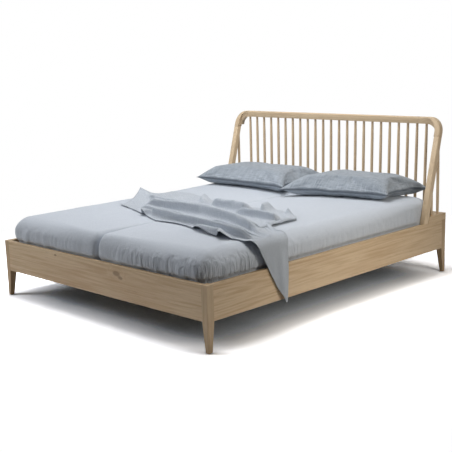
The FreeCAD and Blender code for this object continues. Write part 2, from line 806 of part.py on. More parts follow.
# --- pillows -------------------------------------------------------------
def pillow_ring(corners, z, inset, draw):
    """Outline of a pillow at one height: four drawn-in sides between clipped corners.

    corners are the front left, front right, back right and back left corners
    in plan; inset is how far this outline stands inside them.
    """
    def at(u, v):
        front = corners[0] * (1 - u) + corners[1] * u
        back = corners[3] * (1 - u) + corners[2] * u
        place = front * (1 - v) + back * v
        return Vector(place.x, place.y, z)

    width = (corners[1] - corners[0]).Length
    depth = (corners[3] - corners[0]).Length
    u, v = inset / width, inset / depth
    clip_u, clip_v = u + pillow_clip / width, v + pillow_clip / depth
    points = []
    for side in range(4):
        for i in range(side_facets + 1):
            share = i / side_facets
            sag = 4 * share * (1 - share) * draw
            run_u = clip_u + (1 - 2 * clip_u) * share
            run_v = clip_v + (1 - 2 * clip_v) * share
            points.append((at(run_u, v + sag / depth), at(1 - u - sag / width, run_v),
                           at(1 - run_u, 1 - v - sag / depth), at(u + sag / width, 1 - run_v))[side])
    return points


def pillow(outer, inner, outer_gap, inner_gap):
    """Plump pillow that lies on the sheet: thin at the seam, crowned in the middle."""
    base = sheet_top + soft_gap
    corners = [Vector(inner[0], base_front - inner_gap[0], 0),
               Vector(arm_inner - outer[0], base_front - outer_gap[0], 0),
               Vector(arm_inner - outer[1], base_front - outer_gap[1], 0),
               Vector(inner[1], base_front - inner_gap[1], 0)]
    levels = [(0.00, 70, -6), (0.12, 22, 8), (0.34, 0, 18), (0.55, 16, 10), (0.82, 66, -4), (1.00, 140, -12)]
    return faceted([pillow_ring(corners, base + share * pillow_height, inset, draw)
                    for share, inset, draw in levels])


# --- throw ---------------------------------------------------------------
def throw_ring(place, tilt, y_front, y_back, fold_height):
    """Closed section of the throw: flat below, folds above, square to its run."""
    lean = math.radians(tilt)
    up = Vector(math.sin(lean), 0, math.cos(lean))

    def at(y, height):
        return Vector(place[0], y, place[1]) + up * height

    points = [at(y_front, 0)]
    steps = throw_fold_count * fold_facets
    for i in range(steps + 1):
        swell = math.sin(math.pi * (i % fold_facets) / fold_facets)
        crest = fold_height * (1.0, 0.6)[i // fold_facets % 2] - throw_thickness
        points.append(at(y_front + (y_back - y_front) * i / steps, throw_thickness + crest * swell))
    points.append(at(y_back, 0))
    return points


def throw():
    """Light blanket across the mattresses, with a corner that hangs over the rail."""
    lie = sheet_top + soft_gap
    hang = half_width + soft_gap
    foot = -end_rail_inner
    stations = [((half_width - inset, lie), 0, foot + front, foot + back, fold)
                for inset, front, back, fold in throw_lie]
    stations += [((hang + out, lie - drop), tilt, foot + front, foot + back, fold)
                 for out, drop, tilt, front, back, fold in throw_hang]
    return faceted([throw_ring(*station) for station in stations])


# --- the whole bed -------------------------------------------------------
os.makedirs("parts", exist_ok=True)

right_back_leg = leg()
side_groove = grown(*side_tongue())
arm_mortise = grown(*arm_foot_tenon())
back_leg = right_back_leg.cut(side_groove)
front_leg = end_for_end(right_back_leg)
save("leg_foot_right", front_leg)
save("leg_foot_left", across(front_leg))
save("leg_head_right", back_leg)
save("leg_head_left", across(back_leg))
glides = four_corners(glide(toe_centre())) + [glide(Vector(0, 0, 0))]
save("floor_glides", group(glides))

saddle_bores = [screw_hole(place, way, saddle_screw_length) for place, way in saddle_screws()]
bracket_seats = bracket_screws()
side_place, side_way = bracket_seats[0]
end_place, end_way = bracket_seats[1]
bracket_screw_length = rail_thickness - 6 + plate_thickness
end_bore = screw_hole(end_place, end_way, bracket_screw_length)
side_bore = screw_hole(side_place, side_way, bracket_screw_length)
head_board = end_rail().cut(saddle_bores + [end_bore, across(end_bore)])
save("foot_rail", end_for_end(head_board))
save("head_rail", head_board.cut(grown(*back_tongue())))
ledger_bores = [screw_hole(place, way, ledger_screw_length) for place, way in ledger_screws()]
right_rail = side_rail().cut(ledger_bores + [side_bore, end_for_end(side_bore), side_groove, arm_mortise])
save("side_rail_right", right_rail)
save("side_rail_left", across(right_rail))

save("corner_brackets", group(four_corners(corner_bracket())))
save("leg_bolts", group(four_corners(leg_bolt())))
bracket_set = [screw(side_place, side_way, bracket_screw_length), screw(end_place, end_way, bracket_screw_length)]
screws = [one for piece in bracket_set for one in four_corners(piece)]
for place, way in ledger_screws():
    piece = screw(place, way, ledger_screw_length)
    screws += [piece, across(piece)]
for place, way in saddle_screws():
    piece = screw(place, way, saddle_screw_length)
    screws += [piece, end_for_end(piece)]
save("screws", group(screws))

right_ledger = ledger().cut(ledger_bores)
save("slat_ledgers", group([right_ledger, across(right_ledger)]))
beam = box((-beam_width / 2, beam_width / 2), (-beam_reach, beam_reach), (beam_bottom, slat_seat))
save("centre_beam", beam.cut(rod(centre_tenon_radius + joint_gap, centre_tenon_length + joint_gap,
                                 Vector(0, 0, beam_bottom))))
save("beam_saddles", group([saddle(), end_for_end(saddle())]))
save("centre_leg", centre_leg())
save("slats", slats())
save("slat_tapes", slat_tapes())

save("base_back", back_base())
right_base = side_base()
save("base_right", right_base)
save("base_left", across(right_base))
right_arm = arm()
save("arm_right", right_arm)
save("arm_left", across(right_arm))
right_corner = corner_piece()
save("corner_right", right_corner)
save("corner_left", across(right_corner))
save("top_rail", top_rail())
for number in range(spindle_count):
    save("spindle_%02d" % (number + 1), back_spindle(number))
for label, place in zip(("side_spindle", "corner_spindle"), side_spindle_places()):
    piece = side_spindle(place)
    save(label + "_right", piece)
    save(label + "_left", across(piece))

right_mattress = padded_block()
save("mattress_right", right_mattress)
save("mattress_left", across(right_mattress))
right_sheet = fitted_sheet()
save("sheet_right", right_sheet)
save("sheet_left", across(right_sheet))
save("pillow_left", across(pillow(pillow_left_outer, pillow_left_inner,
                                  pillow_left_outer_gap, pillow_left_inner_gap)))
save("pillow_right", pillow(pillow_right_outer, pillow_right_inner,
                            pillow_right_outer_gap, pillow_right_inner_gap))
save("throw", throw())
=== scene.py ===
import math

import bmesh
import bpy
import numpy as np
from mathutils import Matrix, Vector, noise


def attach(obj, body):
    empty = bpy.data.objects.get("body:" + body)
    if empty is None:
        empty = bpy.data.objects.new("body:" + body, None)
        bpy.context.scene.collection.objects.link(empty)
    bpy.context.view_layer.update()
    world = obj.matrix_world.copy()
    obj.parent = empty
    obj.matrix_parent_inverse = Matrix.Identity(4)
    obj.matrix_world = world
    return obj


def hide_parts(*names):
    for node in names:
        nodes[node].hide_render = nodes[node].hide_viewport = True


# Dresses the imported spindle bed: oiled oak frame, two mattresses in fitted sheets, pillows and a throw.
# Metres. X across the bed, Y from foot to head, Z up, origin on the floor under the middle.

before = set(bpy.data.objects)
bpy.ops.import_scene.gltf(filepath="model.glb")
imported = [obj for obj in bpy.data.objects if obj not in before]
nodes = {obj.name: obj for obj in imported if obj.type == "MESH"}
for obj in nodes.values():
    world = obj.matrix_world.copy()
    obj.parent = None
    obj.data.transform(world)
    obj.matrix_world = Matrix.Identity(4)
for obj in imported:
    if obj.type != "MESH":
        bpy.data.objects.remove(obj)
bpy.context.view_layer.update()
print("frame loaded,", len(nodes), "nodes")


# small helpers

def tone(red, green, blue):
    # screen colour 0-255 to the linear value that a shader socket holds
    def straight(part):
        part /= 255
        return part / 12.92 if part <= 0.04045 else ((part + 0.055) / 1.055) ** 2.4
    return (straight(red), straight(green), straight(blue), 1)


def smooth(low, high, value):
    share = min(max((value - low) / (high - low), 0), 1)
    return share * share * (3 - 2 * share)


def mixed(low, high, share):
    return low + (high - low) * share


def addObject(name, data):
    made = bpy.data.objects.new(name, data)
    bpy.context.scene.collection.objects.link(made)
    return made


def shadeSmooth(mesh, sharpAngle=None):
    mesh.polygons.foreach_set("use_smooth", [True] * len(mesh.polygons))
    if sharpAngle is not None:
        mesh.set_sharp_from_angle(angle=math.radians(sharpAngle))


def meshFrom(name, points, faces):
    mesh = bpy.data.meshes.new(name)
    mesh.from_pydata([tuple(p) for p in points], [], faces)
    shadeSmooth(mesh)
    mesh.update()
    return addObject(name, mesh)


def applied(piece):
    # every modifier turned into plain mesh
    graph = bpy.context.evaluated_depsgraph_get()
    mesh = bpy.data.meshes.new_from_object(piece.evaluated_get(graph))
    piece.modifiers.clear()
    old = piece.data
    piece.data = mesh
    bpy.data.meshes.remove(old)
    return piece


def subdivided(piece):
    finer = piece.modifiers.new("finer", "SUBSURF")
    finer.levels = finer.render_levels = 1
    applied(piece)
    shadeSmooth(piece.data)
    return piece


def thickened(piece, thickness, offset):
    # a single skin turned into cloth with two sides
    shell = piece.modifiers.new("shell", "SOLIDIFY")
    shell.thickness, shell.offset = thickness, offset
    applied(piece)
    shadeSmooth(piece.data)
    return piece


def simulated(piece, values):
    # a short cloth run under these settings, kept as plain mesh
    run = piece.modifiers.new("run", "CLOTH")
    for settings, wanted in ((run.settings, values["cloth"]), (run.collision_settings, values["contact"])):
        for key, value in wanted.items():
            setattr(settings, key, value)
    run.settings.effector_weights.gravity = values["gravity"]
    scene = bpy.context.scene
    for number in range(1, values["frames"] + 1):
        scene.frame_set(number)
    applied(piece)
    scene.frame_set(1)
    return piece


def paint(piece, material):
    piece.data.materials.clear()
    piece.data.materials.append(material)
    return piece


def settle(piece, slotName, *replaced):
    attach(piece, "root")
    if replaced:
        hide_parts(*replaced)
    return piece


# camera

cameraSet = {"place": (4.1798, -4.2219, 1.5405), "turn": -0.7848, "tilt": -0.1917, "roll": -0.0306,
             "lens": 72.52, "sensor": 36, "farEnd": 60}


def addCamera():
    turn, tilt, roll = cameraSet["turn"], cameraSet["tilt"], cameraSet["roll"]
    ahead = Vector((math.sin(turn) * math.cos(tilt), math.cos(turn) * math.cos(tilt), math.sin(tilt)))
    level = Vector((math.cos(turn), -math.sin(turn), 0))
    upright = level.cross(ahead)
    right = level * math.cos(roll) + upright * math.sin(roll)
    top = upright * math.cos(roll) - level * math.sin(roll)
    data = bpy.data.cameras.new("camera")
    data.lens, data.sensor_width = cameraSet["lens"], cameraSet["sensor"]
    data.clip_end = cameraSet["farEnd"]
    camera = addObject("camera", data)
    turned = Matrix((right, top, -ahead)).transposed().to_4x4()
    camera.matrix_world = Matrix.Translation(cameraSet["place"]) @ turned
    bpy.context.scene.camera = camera


addCamera()


# shader maths on wrapped sockets

class Wire:
    def __init__(self, tree, socket):
        self.tree, self.socket = tree, socket

    def maths(self, operation, *values):
        node = self.tree.nodes.new("ShaderNodeMath")
        node.operation = operation
        for socket, value in zip(node.inputs, values):
            feed(self.tree, socket, value)
        return Wire(self.tree, node.outputs[0])

    def __add__(self, other):
        return self.maths("ADD", self, other)

    def __sub__(self, other):
        return self.maths("SUBTRACT", self, other)

    def __mul__(self, other):
        return self.maths("MULTIPLY", self, other)

    def __pow__(self, other):
        return self.maths("POWER", self, other)

    def __rsub__(self, other):
        return self.maths("SUBTRACT", other, self)

    __radd__, __rmul__ = __add__, __mul__

    def sine(self):
        return self.maths("SINE", self)

    def size(self):
        return self.maths("ABSOLUTE", self)

    def between(self, low, high):
        # 0 below low, 1 above high, smooth on the way
        node = self.tree.nodes.new("ShaderNodeMapRange")
        node.interpolation_type = "SMOOTHSTEP"
        values = {"Value": self, "From Min": low, "From Max": high, "To Min": 0, "To Max": 1}
        for name, value in values.items():
            feed(self.tree, node.inputs[name], value)
        return Wire(self.tree, node.outputs[0])


def feed(tree, socket, value):
    if isinstance(value, Wire):
        tree.links.new(value.socket, socket)
    else:
        socket.default_value = value


class Finish:
    def __init__(self, name, **constants):
        self.material = bpy.data.materials.new(name)
        self.material.use_nodes = True
        self.tree = self.material.node_tree
        self.surface = self.tree.nodes["Principled BSDF"]
        for key, value in constants.items():
            self.surface.inputs[key.replace("_", " ")].default_value = value

    def node(self, kind, settings=None, output=0, **sockets):
        made = self.tree.nodes.new("ShaderNode" + kind)
        for key, value in (settings or {}).items():
            setattr(made, key, value)
        for key, value in sockets.items():
            feed(self.tree, made.inputs[key.replace("_", " ")], value)
        return Wire(self.tree, made.outputs[output])

    def objectPlace(self):
        return self.node("TexCoord", output=3)

    def mapped(self, vector, turn=(0, 0, 0), scale=(1, 1, 1), shift=(0, 0, 0)):
        return self.node("Mapping", Vector=vector, Rotation=turn, Scale=scale, Location=shift)

    def grain(self, vector, scale, detail, roughness, distortion=0.0):
        return self.node("TexNoise", Vector=vector, Scale=scale, Detail=detail, Roughness=roughness,
                         Distortion=distortion)

    def blendColours(self, share, first, second):
        made = self.tree.nodes.new("ShaderNodeMix")
        made.data_type = "RGBA"
        # inputs 0, 6 and 7 are the share and the two colours
        for index, value in ((0, share), (6, first), (7, second)):
            feed(self.tree, made.inputs[index], value)
        return Wire(self.tree, made.outputs[2])

    def parts(self, vector):
        made = self.tree.nodes.new("ShaderNodeSeparateXYZ")
        feed(self.tree, made.inputs[0], vector)
        return [Wire(self.tree, out) for out in made.outputs]

    def joined(self, x, y, z):
        return self.node("CombineXYZ", X=x, Y=y, Z=z)

    def show(self, colour, roughness, height, depth):
        bump = self.node("Bump", Height=height, Distance=depth)
        for name, value in (("Base Color", colour), ("Roughness", roughness), ("Normal", bump)):
            feed(self.tree, self.surface.inputs[name], value)
        return self.material


# oak

oakSet = {"pale": tone(213, 190, 156), "mid": tone(196, 168, 132), "deep": tone(164, 132, 97),
          "pore": tone(124, 95, 64), "paintedLightTone": tone(234, 214, 184), "shaded": tone(138, 112, 82),
          "knotRing": tone(104, 76, 50), "midShare": 0.42, "poreShare": 0.4, "rings": 120,
          "ringShare": 0.26, "streakShare": 0.52, "broadShare": 0.34, "bump": 0.0006,
          "knotLength": 0.45, "knotReach": 4, "knotPull": 0.5,
          # scale along and across the grain, and a shift that keeps the layers apart
          "field": (0.30, 4.4, 0.0), "broad": (0.5, 2.4, 3.0), "streaks": (3.0, 95.0, 1.7),
          "fibres": (14.0, 480.0, 5.1)}


def oakFinish(name, along="x", lean=0.0, shift=0.0, knots=(), bend=None, pale=0.0, dark=0.0):
    # grain runs along one axis; lean turns it about X, bend = (x, z, radius) winds it round a corner
    s = oakSet
    oak = Finish(name)
    place = oak.objectPlace()
    if bend:
        x, y, z = oak.parts(place)
        across, rise = x.size() - bend[0], z - bend[1]
        reach = (across * across + rise * rise) ** 0.5
        angle = rise.maths("ARCTAN2", rise, across)
        place = oak.joined(angle * bend[2], y, reach)
    if lean:
        place = oak.mapped(place, turn=(lean, 0, 0))
    longways = {"x": (1, 0, 0), "y": (0, 1, 0), "z": (0, 0, 1)}[along]

    def stretched(longScale, crossScale, move):
        scale = [mixed(crossScale, longScale, axis) for axis in longways]
        return oak.mapped(place, scale=scale, shift=(shift + move, shift * 0.7, shift * 1.3 - move))

    field = oak.grain(stretched(*s["field"]), 1.0, 2.0, 0.40, 0.12)
    pull = 0
    squash = [mixed(1, s["knotLength"], axis) for axis in longways]
    for centre, size in knots:
        heart = [-share * part for share, part in zip(squash, centre)]
        away = oak.node("VectorMath", {"operation": "DISTANCE"}, 1,
                        Vector=oak.mapped(place, scale=squash, shift=heart))
        pull = pull + (1 - away.between(0, size * s["knotReach"])) ** 3
    if knots:
        field = field + pull * s["knotPull"]
    rings = (field * s["rings"]).sine() * 0.5 + 0.5
    broad = oak.grain(stretched(*s["broad"]), 1.0, 3.0, 0.55)
    streaks = oak.grain(stretched(*s["streaks"]), 1.0, 4.0, 0.62)
    fibres = oak.grain(stretched(*s["fibres"]), 1.0, 2.0, 0.6)
    pores = fibres.between(0.60, 0.70) * (1 - rings.between(0.25, 0.9))
    depth = rings * s["ringShare"] + streaks.between(0.3, 0.72) * s["streakShare"]
    depth = depth + broad.between(0.3, 0.7) * s["broadShare"]
    colour = oak.blendColours(depth.between(0.18, 1.08), s["pale"], s["deep"])
    colour = oak.blendColours(s["midShare"], colour, s["mid"])
    colour = oak.blendColours(pores * s["poreShare"], colour, s["pore"])
    if knots:
        # a dark ring round a paler heart
        knot = pull.between(0.42, 0.95)
        colour = oak.blendColours(knot * 0.72, colour, s["knotRing"])
        colour = oak.blendColours(knot, colour, s["shaded"])
    # pale blends in painted light, brightening the wood as if it were more strongly lit
    if pale:
        colour = oak.blendColours(pale, colour, s["paintedLightTone"])
    # dark blends in painted shade, darkening the wood as if it stood in shadow
    if dark:
        colour = oak.blendColours(dark, colour, s["shaded"])
    height = streaks * 0.4 - pores * 0.8 + rings * 0.12
    return oak.show(colour, 0.5 + depth * 0.14, height, s["bump"])


def dress(names, material):
    for name in names:
        paint(nodes[name], material)


# each knot by its place on the foot rail's front and its size
frontKnots = [((0.208, -1.133, 0.318), 0.014), ((0.246, -1.133, 0.295), 0.007),
              ((-0.38, -1.133, 0.343), 0.006)]
dress(["foot_rail"], oakFinish("oakFootRail", "x", knots=frontKnots))
dress(["head_rail", "base_back"], oakFinish("oakHeadRail", "x", shift=4.1))
dress(["side_rail_right"], oakFinish("oakSideRight", "y", shift=2.2))
dress(["side_rail_left"], oakFinish("oakSideLeft", "y", shift=7.7))
dress(["base_right", "base_left"], oakFinish("oakBaseSide", "y", shift=5.3))
# the legs carry painted shade: their oak is darkened as if in shadow
legSet = {"leg_foot_left": 1.1, "leg_foot_right": 2.6, "leg_head_left": 3.9, "leg_head_right": 6.4}
for legName, legShift in legSet.items():
    dress([legName], oakFinish("oak_" + legName, "z", shift=legShift, dark=0.32))
print("rails and legs finished")


# the hoop: arms, corners and top rail keep their joints, with softer edges

hoopSet = {"lean": 0.2705, "bend": (0.842, 0.954, 0.08), "softEdge": 0.0022, "tightEdge": 0.00066,
           "edgeSteps": 2, "edgeAngle": 24, "sharpAngle": 40, "flatAngle": 0.6, "weld": 1e-5}
# the arms, corners and top rail carry painted light: their oak is paled as if more strongly lit from above
# and in front
oakArm = oakFinish("oakArm", "z", lean=-hoopSet["lean"], shift=1.9, pale=0.42)
oakCorner = oakFinish("oakCorner", shift=3.3, bend=hoopSet["bend"], pale=0.36)
oakTop = oakFinish("oakTopRail", "x", shift=8.2, pale=0.3)


def softenedCopy(name, width, material):
    h = hoopSet
    mesh = nodes[name].data.copy()
    shell = bmesh.new()
    shell.from_mesh(mesh)
    bmesh.ops.remove_doubles(shell, verts=shell.verts, dist=h["weld"])
    bmesh.ops.dissolve_limit(shell, angle_limit=math.radians(h["flatAngle"]), verts=shell.verts,
                             edges=shell.edges)
    shell.to_mesh(mesh)
    shell.free()
    shadeSmooth(mesh)
    piece = addObject(name + "_soft", mesh)
    edge = piece.modifiers.new("edge", "BEVEL")
    edge.limit_method, edge.angle_limit = "ANGLE", math.radians(h["edgeAngle"])
    edge.width, edge.segments, edge.use_clamp_overlap = width, h["edgeSteps"], True
    applied(piece)
    shadeSmooth(piece.data, h["sharpAngle"])
    settle(paint(piece, material), "oak_headboard", name)


for side in ("left", "right"):
    softenedCopy("arm_" + side, hoopSet["tightEdge"], oakArm)
    softenedCopy("corner_" + side, hoopSet["softEdge"], oakCorner)
softenedCopy("top_rail", hoopSet["tightEdge"], oakTop)
print("hoop softened")


# spindles, turned and spread by geometry nodes

spindleSet = {"backCount": 23, "footPitch": 0.07309, "topPitch": 0.07391, "footY": 1.077, "topY": 1.089,
              "footZ": 0.400, "topZ": 1.020, "cornerX": 0.9215, "cornerY": 1.061, "cornerTop": 0.905,
              "sideY": 0.986, "sideTop": 0.632, "body": 0.0100, "neck": 0.0080, "footTaper": 0.10,
              "topTaper": 0.19, "sides": 20, "stations": 26, "sharpAngle": 50}


def spindleTree():
    tree = bpy.data.node_groups.new("spindleRow", "GeometryNodeTree")
    face = tree.interface
    kinds = {"count": "Int", "foot": "Vector", "top": "Vector", "finish": "Material"}
    for name in ("count", "footPitch", "topPitch", "foot", "top", "length", "body", "neck", "footTaper",
                 "topTaper", "finish"):
        face.new_socket(name, in_out="INPUT", socket_type="NodeSocket" + kinds.get(name, "Float"))
    face.new_socket("Geometry", in_out="OUTPUT", socket_type="NodeSocketGeometry")
    given = tree.nodes.new("NodeGroupInput").outputs

    def add(kind, settings=None, **sockets):
        # a socket is fed by its name, or by its number as s0, s1
        made = tree.nodes.new(kind)
        for key, value in (settings or {}).items():
            setattr(made, key, value)
        for key, value in sockets.items():
            numbered = key[0] == "s" and key[1:].isdigit()
            socket = made.inputs[int(key[1:]) if numbered else key]
            if isinstance(value, bpy.types.NodeSocket):
                tree.links.new(value, socket)
            else:
                socket.default_value = value
        return made.outputs[0]

    def maths(operation, first, second=0.0):
        return add("ShaderNodeMath", {"operation": operation}, s0=first, s1=second)

    def vectors(operation, first, second):
        return add("ShaderNodeVectorMath", {"operation": operation}, s0=first, s1=second)

    # one turned bar: radius swells from neck to body and back along its length
    bar = add("GeometryNodeMeshCylinder", Vertices=spindleSet["sides"], s1=spindleSet["stations"],
              Radius=1.0, Depth=1.0)
    split = tree.nodes.new("ShaderNodeSeparateXYZ")
    tree.links.new(add("GeometryNodeInputPosition"), split.inputs[0])
    rise = maths("MULTIPLY", maths("ADD", split.outputs[2], 0.5), given["length"])
    fromFoot = maths("DIVIDE", rise, given["footTaper"])
    fromTop = maths("DIVIDE", maths("SUBTRACT", given["length"], rise), given["topTaper"])
    swell = maths("MINIMUM", maths("MINIMUM", fromFoot, fromTop), 1.0)
    swell = maths("SINE", maths("MULTIPLY", swell, math.pi / 2))
    thicker = maths("MULTIPLY", swell, maths("SUBTRACT", given["body"], given["neck"]))
    radius = maths("ADD", given["neck"], thicker)
    turned = add("ShaderNodeCombineXYZ", X=maths("MULTIPLY", split.outputs[0], radius),
                 Y=maths("MULTIPLY", split.outputs[1], radius), Z=rise)
    bar = add("GeometryNodeSetPosition", Geometry=bar, Position=turned)

    # the row: each bar stands on its foot point and leans to its top point
    middle = maths("DIVIDE", maths("SUBTRACT", given["count"], 1.0), 2.0)
    order = maths("SUBTRACT", add("GeometryNodeInputIndex"), middle)
    footStep = add("ShaderNodeCombineXYZ", X=maths("MULTIPLY", order, given["footPitch"]))
    topStep = add("ShaderNodeCombineXYZ", X=maths("MULTIPLY", order, given["topPitch"]))
    foot = vectors("ADD", given["foot"], footStep)
    top = vectors("ADD", given["top"], topStep)
    row = add("GeometryNodePoints", Count=given["count"], Position=foot)
    lean = add("FunctionNodeAlignRotationToVector", {"axis": "Z"}, Vector=vectors("SUBTRACT", top, foot))
    row = add("GeometryNodeInstanceOnPoints", Points=row, Instance=bar, Rotation=lean)
    row = add("GeometryNodeRealizeInstances", Geometry=row)
    row = add("GeometryNodeSetMaterial", Geometry=row, Material=given["finish"])
    tree.links.new(row, tree.nodes.new("NodeGroupOutput").inputs[0])
    return tree


def spindleRow(name, tree, values):
    row = addObject(name, bpy.data.meshes.new(name))
    work = row.modifiers.new("row", "NODES")
    work.node_group = tree
    for item in tree.interface.items_tree:
        if item.in_out == "INPUT":
            work[item.identifier] = values[item.name]
    applied(row)
    shadeSmooth(row.data, spindleSet["sharpAngle"])
    return row


def addSpindles():
    s = spindleSet
    tree = spindleTree()
    common = {key: s[key] for key in ("body", "neck", "footTaper", "topTaper")}
    # the spindles carry the same painted light as the hoop, paled towards the light tone
    common["finish"] = oakFinish("oakSpindle", "z", shift=2.9, pale=0.35)
    wide = s["cornerX"] * 2
    rows = (
        ("back_spindles", s["backCount"], s["footPitch"], s["topPitch"], (0, s["footY"], s["footZ"]),
         (0, s["topY"], s["topZ"]), ["spindle_%02d" % (i + 1) for i in range(s["backCount"])]),
        ("corner_spindles", 2, wide, wide, (0, s["cornerY"], s["footZ"]), (0, s["cornerY"], s["cornerTop"]),
         ["corner_spindle_left", "corner_spindle_right"]),
        ("side_spindles", 2, wide, wide, (0, s["sideY"], s["footZ"]), (0, s["sideY"], s["sideTop"]),
         ["side_spindle_left", "side_spindle_right"]))
    for name, count, footPitch, topPitch, foot, top, replaced in rows:
        values = dict(common, count=count, footPitch=footPitch, topPitch=topPitch, foot=foot, top=top,
                      length=(Vector(top) - Vector(foot)).length)
        settle(spindleRow(name, tree, values), "oak_spindles", *replaced)


addSpindles()
print("spindles turned")


# hidden slats, support and hardware

def plainWood(name, pale, deep, along):
    wood = Finish(name)
    scale = {"x": (2, 60, 60), "y": (60, 2, 60), "z": (60, 60, 2)}[along]
    lines = wood.grain(wood.mapped(wood.objectPlace(), scale=scale), 1.0, 4.0, 0.6)
    shown = wood.blendColours(lines.between(0.3, 0.7), pale, deep)
    return wood.show(shown, 0.55 + lines * 0.15, lines, 0.0005)


def metal(name, colour, fleck, rough):
    steel = Finish(name, Metallic=1.0)
    spots = steel.grain(steel.objectPlace(), 260.0, 3.0, 0.6)
    shown = steel.blendColours(spots * 0.5, colour, fleck)
    return steel.show(shown, rough + spots * 0.18, spots, 0.0002)


def webbing(name, colour, worn, ribs):
    tape = Finish(name)
    x, y = tape.parts(tape.objectPlace())[:2]
    rib = (y * ribs).sine() * (x * ribs).sine()
    shown = tape.blendColours(rib.between(-1, 1), colour, worn)
    return tape.show(shown, 0.85 + rib * 0.05, rib, 0.0004)


def nylon(name, colour, fleck):
    hard = Finish(name)
    spots = hard.grain(hard.objectPlace(), 700.0, 2.0, 0.5)
    return hard.show(hard.blendColours(spots, colour, fleck), 0.5 + spots * 0.2, spots, 0.0002)


pine = (tone(220, 196, 154), tone(190, 158, 112))
dress(["slats"], plainWood("birchPly", tone(222, 202, 166), tone(196, 170, 128), "x"))
dress(["slat_ledgers", "centre_beam"], plainWood("pineLong", *pine, "y"))
dress(["centre_leg"], plainWood("pineUp", *pine, "z"))
dress(["corner_brackets", "leg_bolts", "screws", "beam_saddles"],
      metal("zincSteel", tone(186, 188, 192), tone(150, 152, 156), 0.30))
dress(["slat_tapes"], webbing("slatTape", tone(120, 116, 108), tone(150, 146, 136), 2400))
dress(["floor_glides"], nylon("glideNylon", tone(92, 86, 80), tone(74, 70, 66)))
print("support finished")


# cloth finishes

# painted shade for the thin line along a pillow's seam and a throw's hem, where their crease would fall in
# shadow
seamShadeTone = tone(70, 79, 92)


def clothFinish(name, colour, dark, threads, heather=0.0, sheen=0.25, depth=0.0006, uvName=None,
                gathers=None, seam=None):
    # threads per metre both ways; heather is the share of darker flecks
    # seam = (attribute that marks it, share of the painted shade along it)
    cloth = Finish(name, Sheen_Weight=sheen, Sheen_Roughness=0.5)
    if uvName:
        place = cloth.node("UVMap", {"uv_map": uvName})
        first, second = cloth.parts(place)[:2]
    else:
        place = cloth.objectPlace()
        x, y, z = cloth.parts(place)
        first, second = x + z * 0.7, y + z * 0.7
    turns = threads * 2 * math.pi
    weave = (first * turns).sine() * (second * turns).sine()
    fine, coarse, deep = threads * 0.9, threads * 0.05, threads * 0.3
    slub = cloth.grain(cloth.mapped(place, scale=(fine, coarse, deep)), 1.0, 3.0, 0.7)
    cross = cloth.grain(cloth.mapped(place, scale=(coarse, fine, deep)), 1.0, 3.0, 0.7)
    cloudy = cloth.grain(place, 7.0, 4.0, 0.55)
    flecks = (slub + cross).between(0.78, 1.22)
    shown = cloth.blendColours(flecks * heather + cloudy * 0.10, colour, dark)
    height = weave * 0.5 + flecks * 0.7
    if seam:
        # painted shade: the seam or hem is darkened in a thin line, with a bump beside it
        line = cloth.node("Attribute", {"attribute_name": seam[0]}, 2)
        shown = cloth.blendColours(line.between(0.3, 0.9) * seam[1], shown, seamShadeTone)
        height = height + line.between(0.0, 0.4) * 2 - line.between(0.5, 0.95) * 3
    if gathers:
        # fine upright puckers low on the sides, deeper towards the near corner
        run = cloth.grain(cloth.mapped(place, scale=gathers["scale"]), 1.0, 3.0, 0.55, 0.4)
        crest = (1 - (run - 0.5).size() * 7).between(0, 1)
        low = 1 - z.between(*gathers["fade"])
        acrossX, alongY = x - gathers["corner"][0], y - gathers["corner"][1]
        near = 1 - (acrossX * acrossX + alongY * alongY).between(0.0, gathers["reach"])
        strength = near * gathers["nearMore"] + gathers["everywhere"]
        height = height + (crest + (run - 0.5) * 3) * low * strength * gathers["depth"]
    return cloth.show(shown, 0.86 + flecks * 0.08, height, depth)


sheetGathers = {"scale": (34, 34, 3.2), "fade": (0.40, 0.50), "corner": (0.9, -1.1), "reach": 0.7,
                "nearMore": 0.82, "everywhere": 0.14, "depth": 15.0}
sheetFinish = clothFinish("sheetCotton", tone(206, 213, 223), tone(178, 187, 200), 420, heather=0.18,
                          sheen=0.15, gathers=sheetGathers)
tickingFinish = clothFinish("mattressTicking", tone(236, 235, 230), tone(216, 215, 208), 300, heather=0.3)
# the pillow's rim and the throw's hem carry a line of painted shade
pillowFinish = clothFinish("pillowWeave", tone(182, 191, 201), tone(98, 109, 122), 260, heather=0.62,
                           sheen=0.2, depth=0.0008, uvName="cloth", seam=("rim", 0.7))
throwFinish = clothFinish("throwWeave", tone(208, 215, 224), tone(146, 157, 171), 330, heather=0.42,
                          sheen=0.2, depth=0.0008, uvName="cloth", seam=("hem", 0.30))


# mattresses in fitted sheets, built for the right side and mirrored for the left

bedSet = {
    "low": (0.0004, -1.105, 0.3172), "high": (0.9007, 0.997, 0.5271), "hem": 0.3303, "railTop": 0.365,
    # radii of the rolls, and how far each kind of roll reaches into the next
    "corner": 0.100, "creaseCorner": 0.055, "roll": 0.088, "creaseRoll": 0.016, "headRoll": 0.05,
    "outerReach": (0.15, 0.6), "footReach": 0.35, "headReach": (0.9, 0.1),
    # the bulge over the rails, and the pinch under it where the rail holds the mattress
    "sidePuff": 0.0135, "footPuff": 0.0125, "puffRise": 0.028, "puffFade": (0.405, 0.525),
    "puffEnds": (0.80, 0.86), "pinch": 0.5, "pinchStart": (0.345, 0.358), "pinchEnd": (0.366, 0.378),
    "crown": 0.009, "crownReach": 0.36, "crownEnds": (0.2, 0.8), "uneven": 0.0022,
    "nearCorner": (0.9, -1.1), "puckers": 0.0095, "puckerLimit": 0.007, "flatPuckers": 0.16,
    # noise cycles per metre in plan and upwards, for narrow creases and wide swells
    "fine": (26, 4.5), "wide": (11, 2.5),
    "piping": 0.014, "pipingTall": 0.03,
    "sheetStep": 0.0092, "sheetThick": 0.0015, "coreStep": 0.024, "coreInset": 0.0105, "flat": (1.32, 2.52)}


